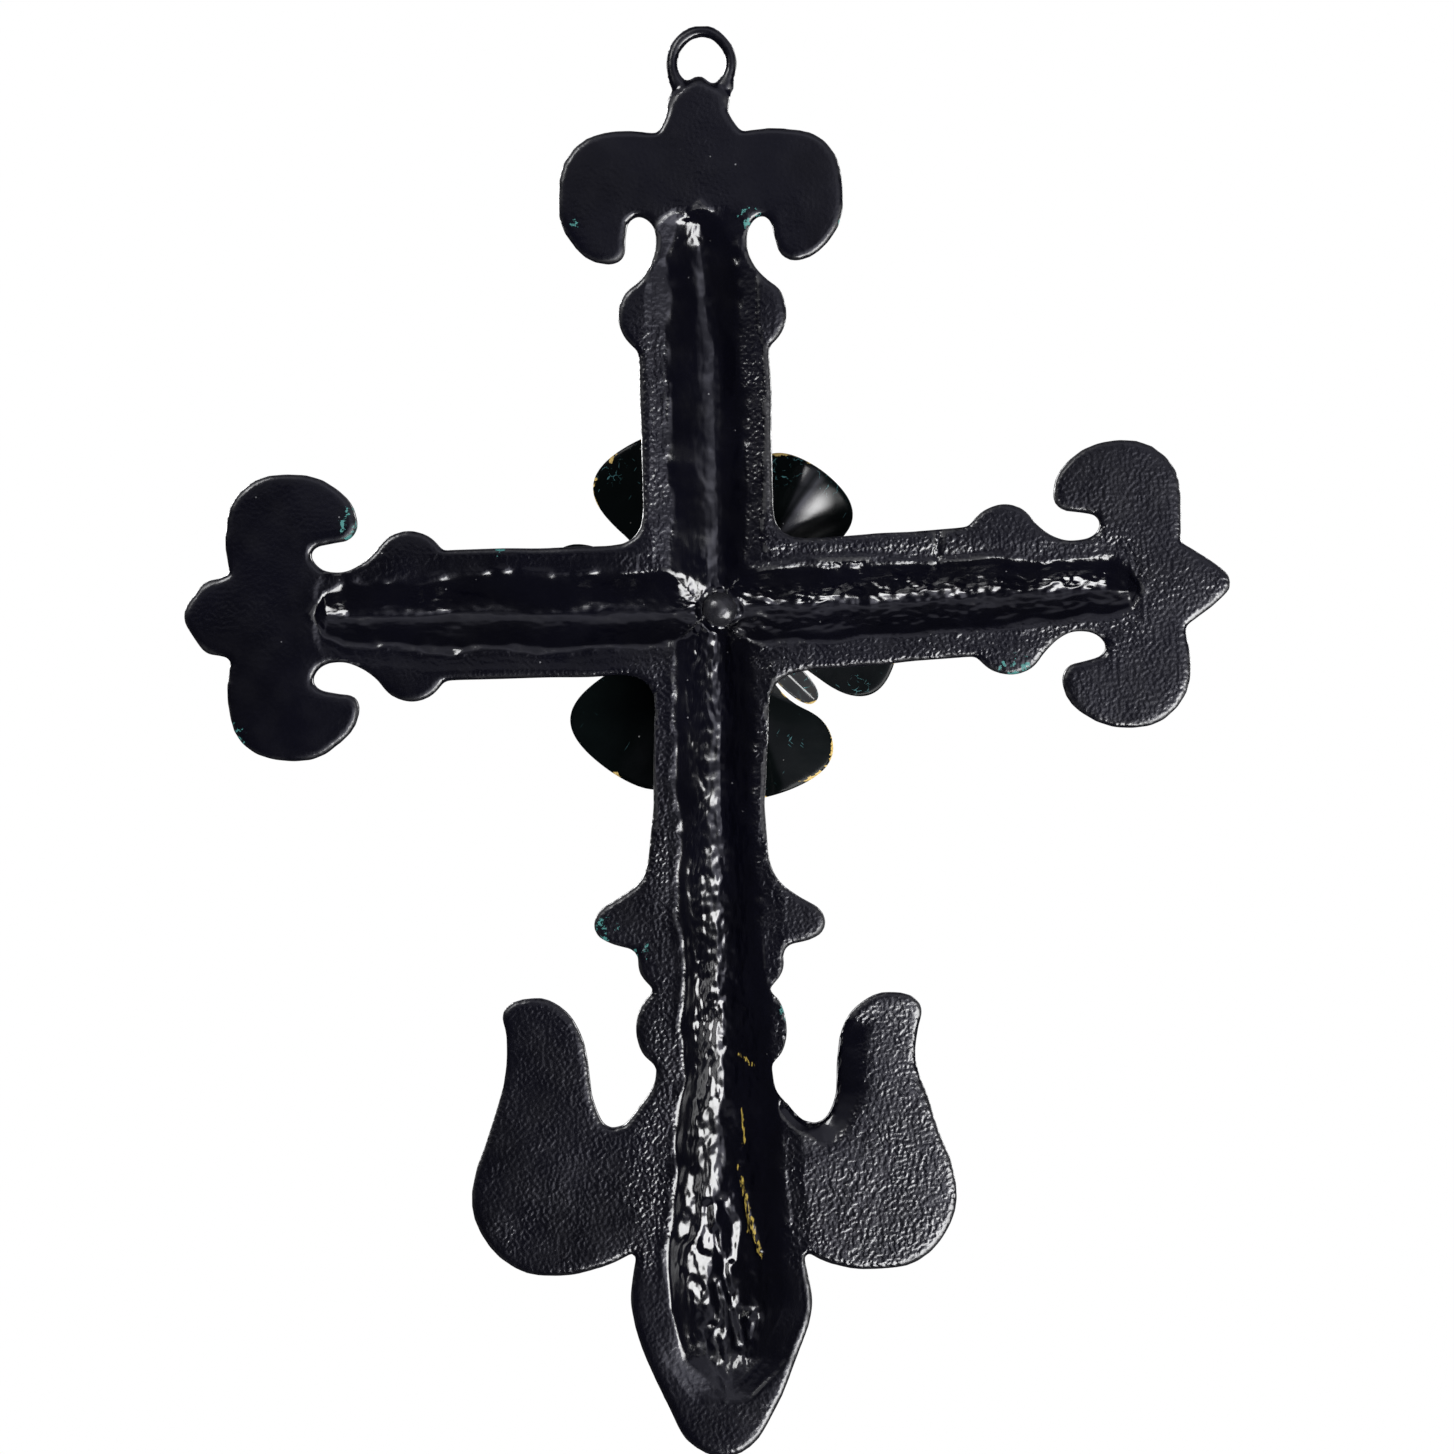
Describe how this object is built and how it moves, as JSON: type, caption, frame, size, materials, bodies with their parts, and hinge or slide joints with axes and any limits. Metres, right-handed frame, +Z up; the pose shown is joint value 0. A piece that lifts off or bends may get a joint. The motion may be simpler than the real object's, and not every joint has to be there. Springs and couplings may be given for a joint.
{
  "type": "cast iron wall cross",
  "caption": "Latin cross in cast iron with fleur-de-lis ends, a horned foot with a pointed blade, a riveted sheet-metal flower at the crossing and a ring to hang it by.",
  "frame": {"origin": "middle of the hanging ring's hole, at half its thickness", "axes": "+Z up along the upright, towards the ring; -Y out of the ornamental front, +Y out of the flat back that lies on the wall; +X to the right seen from the front"},
  "size_m": [0.2521, 0.0246, 0.3441],
  "materials": {
    "black_enamel": "black gloss enamel over sand-cast iron, with old green paint where it is chipped",
    "petal_enamel": "black gloss enamel on thin sheet, scratched to green, gold at the chipped edges",
    "rivet_enamel": "black gloss enamel"
  },
  "bodies": {
    "root": {"cast_cross": "black_enamel", "outer_petals": "petal_enamel", "inner_petals": "petal_enamel", "rivet": "rivet_enamel"}
  },
  "joints": []
}
